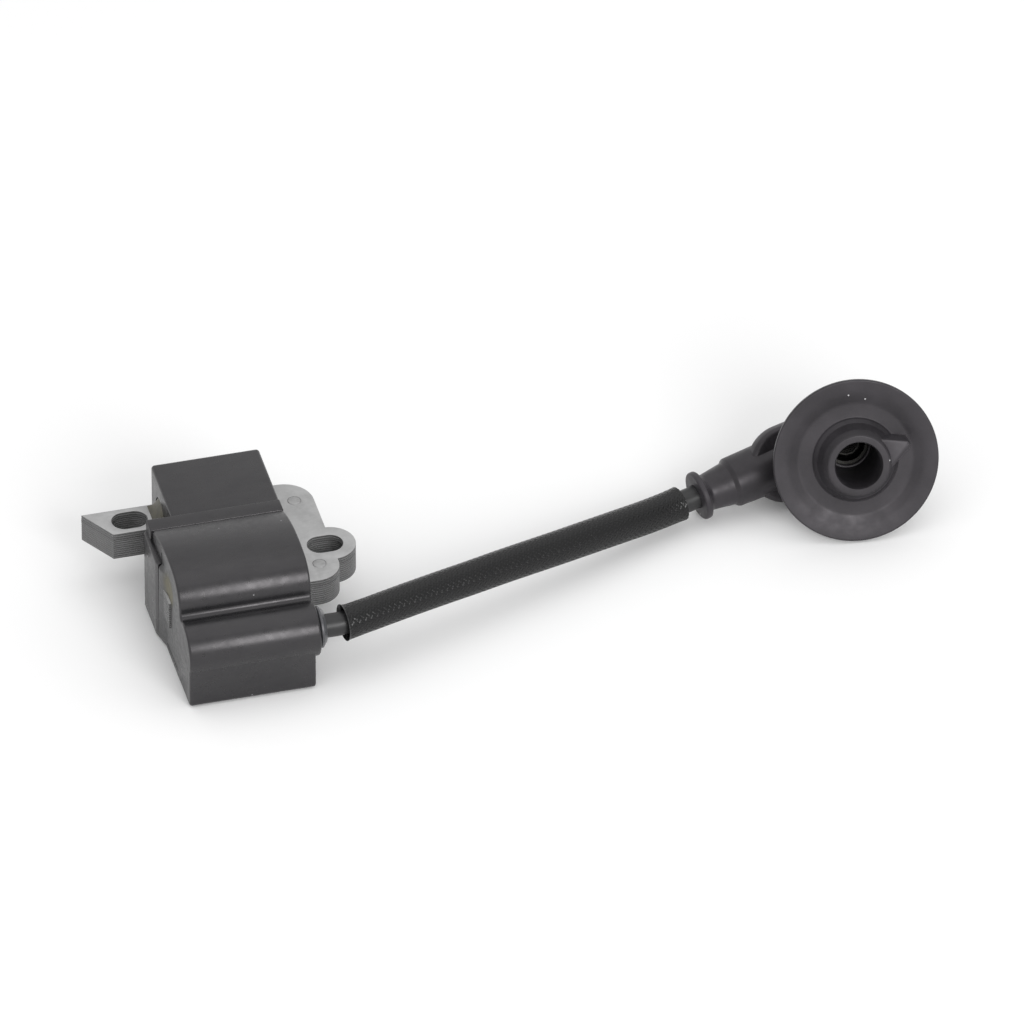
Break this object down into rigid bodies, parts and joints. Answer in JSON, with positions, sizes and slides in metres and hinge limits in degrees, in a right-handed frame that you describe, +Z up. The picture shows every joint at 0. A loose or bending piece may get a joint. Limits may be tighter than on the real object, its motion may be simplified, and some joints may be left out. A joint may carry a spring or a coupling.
{
  "type": "small engine ignition coil",
  "caption": "Laminated iron core with slotted mounting ears, potted coil casing, sleeved high tension lead and right-angle rubber plug boot with a sealing disc.",
  "frame": {"origin": "centre of the coil block's bounding box on the flat underside of its casing, without the lead and what is on it", "axes": "+X to the right along the lead, +Y to the back where the stop blade is, +Z up through the core's sheets"},
  "size_m": [0.1777, 0.0616, 0.0327],
  "materials": {
    "core_iron": "satin punched electrical sheet",
    "rivet_steel": "satin",
    "casing_plastic": "satin moulded glass-filled plastic",
    "resin": "cured potting resin",
    "bobbin_plastic": "moulded",
    "copper_wire": "enamelled copper",
    "board": "lacquered glass epoxy",
    "component_black": "moulded epoxy",
    "component_orange": "dipped epoxy",
    "brass": "stamped",
    "tinned_steel": "tinned",
    "lead_rubber": "smooth extruded rubber",
    "braid": "braided monofilament",
    "boot_rubber": "matte moulded rubber"
  },
  "bodies": {
    "coil_block": {"lamination_01": "core_iron", "lamination_02": "core_iron", "lamination_03": "core_iron", "lamination_04": "core_iron", "lamination_05": "core_iron", "lamination_06": "core_iron", "lamination_07": "core_iron", "lamination_08": "core_iron", "lamination_09": "core_iron", "lamination_10": "core_iron", "lamination_11": "core_iron", "lamination_12": "core_iron", "core_rivets": "rivet_steel", "casing": "casing_plastic", "potting_resin": "resin", "charge_bobbin": "bobbin_plastic", "charge_winding": "copper_wire", "trigger_winding": "copper_wire", "primary_bobbin": "bobbin_plastic", "primary_winding": "copper_wire", "secondary_bobbin": "bobbin_plastic", "secondary_winding": "copper_wire", "circuit_board": "board", "storage_capacitor": "component_orange", "thyristor": "component_black", "rectifier_diodes": "component_black", "gate_resistor": "bobbin_plastic", "earth_strap": "brass", "stop_blade": "tinned_steel", "tower_contact": "brass", "output_wire": "copper_wire", "tower_collar": "lead_rubber", "lead_root": "lead_rubber", "lead": "lead_rubber"},
    "sleeve": {"braided_sleeve": "braid"},
    "plug_boot": {"boot": "boot_rubber", "plug_terminal": "tinned_steel", "contact_spring": "tinned_steel"}
  },
  "joints": [
    {"name": "sleeve_slide", "type": "slide", "parent": "coil_block", "child": "sleeve", "axis": [0.9353, 0.3454, -0.0764], "range_m": [-0.0015, 0.002]},
    {"name": "boot_swivel", "type": "hinge", "parent": "coil_block", "child": "plug_boot", "pos_m": [0.1018, 0.0054, 0.0057], "axis": [0.9701, 0.2165, 0.1097], "range_deg": [-25, 25]}
  ]
}
